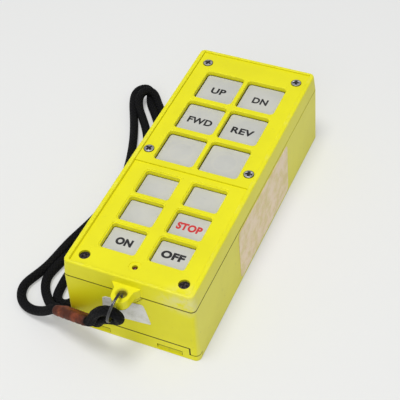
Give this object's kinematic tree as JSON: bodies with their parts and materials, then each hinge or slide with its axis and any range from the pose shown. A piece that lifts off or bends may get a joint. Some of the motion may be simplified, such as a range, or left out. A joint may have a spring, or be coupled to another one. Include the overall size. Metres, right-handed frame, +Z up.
{
  "type": "crane radio remote control",
  "caption": "Hand-held crane radio transmitter box lying on its back: yellow case, grey push keys in two columns, status lamp, strap lug with split ring and a black wrist cord.",
  "frame": {"origin": "middle of the case's flat base, on the table it lies on", "axes": "+X to the right of the keys read upright, +Y from the strap lug at the front end to the far end, +Z up out of the keypad"},
  "size_m": [0.1282, 0.2137, 0.0523],
  "materials": {
    "yellow_plastic": "satin moulded skin, lemon yellow all through",
    "key_grey": "satin warm grey, printed legends",
    "gasket_rubber": "matt black",
    "switch_black": "fine matt",
    "board_green": "solder mask over glass laminate",
    "lamp_red": "clear red lens, unlit",
    "shield_tin": "tinned can",
    "antenna_brass": "plain drawn wire",
    "chip_black": "moulded package",
    "connector_white": "natural nylon",
    "lead_red": "soft insulation",
    "holder_black": "fine matt",
    "contact_nickel": "nickel plated",
    "cell_jacket": "shrunk jacket, no print",
    "screw_bright": "bright plated",
    "screw_dark": "blackened",
    "insert_brass": "turned",
    "ring_chrome": "bright plated, lightly worn",
    "cord_black": "fine braid",
    "sleeve_brown": "worn smooth, darker at its ends",
    "label_paper": "blank, worn edges",
    "label_film": "blank film, slightly glossy"
  },
  "bodies": {
    "handset": {"upper_cover": "yellow_plastic", "key_plate": "yellow_plastic", "lower_case": "yellow_plastic", "case_gasket": "gasket_rubber", "key_plate_gasket": "gasket_rubber", "switch_1": "switch_black", "switch_2": "switch_black", "switch_3": "switch_black", "switch_4": "switch_black", "switch_5": "switch_black", "switch_6": "switch_black", "switch_7": "switch_black", "switch_8": "switch_black", "switch_9": "switch_black", "switch_10": "switch_black", "switch_11": "switch_black", "switch_12": "switch_black", "circuit_board": "board_green", "status_led": "lamp_red", "radio_module": "shield_tin", "antenna": "antenna_brass", "processor": "chip_black", "crystal": "shield_tin", "battery_connector": "connector_white", "battery_lead": "lead_red", "battery_holder": "holder_black", "battery_contacts": "contact_nickel", "battery_springs": "contact_nickel", "battery_cell_1": "cell_jacket", "battery_cell_2": "cell_jacket", "battery_cell_3": "cell_jacket", "battery_cell_4": "cell_jacket", "key_plate_screws": "screw_bright", "case_screws": "screw_dark", "board_screws": "screw_dark", "threaded_inserts": "insert_brass", "front_label": "label_paper", "side_label": "label_film"},
    "key_1": {"key_1": "key_grey"},
    "key_2": {"key_2": "key_grey"},
    "key_3": {"key_3": "key_grey"},
    "key_4": {"key_4": "key_grey"},
    "key_5": {"key_5": "key_grey"},
    "key_6": {"key_6": "key_grey"},
    "key_7": {"key_7": "key_grey"},
    "key_8": {"key_8": "key_grey"},
    "key_9": {"key_9": "key_grey"},
    "key_10": {"key_10": "key_grey"},
    "key_11": {"key_11": "key_grey"},
    "key_12": {"key_12": "key_grey"},
    "battery_door": {"battery_door": "yellow_plastic"},
    "strap": {"split_ring": "ring_chrome", "strap_bight": "cord_black", "strap_sleeve": "sleeve_brown", "strap_cord": "cord_black"}
  },
  "joints": [
    {"name": "key_1_push", "type": "slide", "parent": "handset", "child": "key_1", "axis": [0, 0, -1], "range_m": [0, 0.0015], "stiffness_N_per_m": 1200, "springref_m": -0.0004},
    {"name": "key_2_push", "type": "slide", "parent": "handset", "child": "key_2", "axis": [0, 0, -1], "range_m": [0, 0.0015], "stiffness_N_per_m": 1200, "springref_m": -0.0004},
    {"name": "key_3_push", "type": "slide", "parent": "handset", "child": "key_3", "axis": [0, 0, -1], "range_m": [0, 0.0015], "stiffness_N_per_m": 1200, "springref_m": -0.0004},
    {"name": "key_4_push", "type": "slide", "parent": "handset", "child": "key_4", "axis": [0, 0, -1], "range_m": [0, 0.0015], "stiffness_N_per_m": 1200, "springref_m": -0.0004},
    {"name": "key_5_push", "type": "slide", "parent": "handset", "child": "key_5", "axis": [0, 0, -1], "range_m": [0, 0.0015], "stiffness_N_per_m": 1200, "springref_m": -0.0004},
    {"name": "key_6_push", "type": "slide", "parent": "handset", "child": "key_6", "axis": [0, 0, -1], "range_m": [0, 0.0015], "stiffness_N_per_m": 1200, "springref_m": -0.0004},
    {"name": "key_7_push", "type": "slide", "parent": "handset", "child": "key_7", "axis": [0, 0, -1], "range_m": [0, 0.0015], "stiffness_N_per_m": 1200, "springref_m": -0.0004},
    {"name": "key_8_push", "type": "slide", "parent": "handset", "child": "key_8", "axis": [0, 0, -1], "range_m": [0, 0.0015], "stiffness_N_per_m": 1200, "springref_m": -0.0004},
    {"name": "key_9_push", "type": "slide", "parent": "handset", "child": "key_9", "axis": [0, 0, -1], "range_m": [0, 0.0015], "stiffness_N_per_m": 1200, "springref_m": -0.0004},
    {"name": "key_10_push", "type": "slide", "parent": "handset", "child": "key_10", "axis": [0, 0, -1], "range_m": [0, 0.0015], "stiffness_N_per_m": 1200, "springref_m": -0.0004},
    {"name": "key_11_push", "type": "slide", "parent": "handset", "child": "key_11", "axis": [0, 0, -1], "range_m": [0, 0.0015], "stiffness_N_per_m": 1200, "springref_m": -0.0004},
    {"name": "key_12_push", "type": "slide", "parent": "handset", "child": "key_12", "axis": [0, 0, -1], "range_m": [0, 0.0015], "stiffness_N_per_m": 1200, "springref_m": -0.0004},
    {"name": "battery_door_hinge", "type": "hinge", "parent": "handset", "child": "battery_door", "pos_m": [0, -0.02645, 0.0002], "axis": [1, 0, 0], "range_deg": [0, 90]},
    {"name": "strap_swing", "type": "hinge", "parent": "handset", "child": "strap", "pos_m": [0, -0.0985, 0.0435], "axis": [0, 0, 1], "range_deg": [0, 90]}
  ]
}
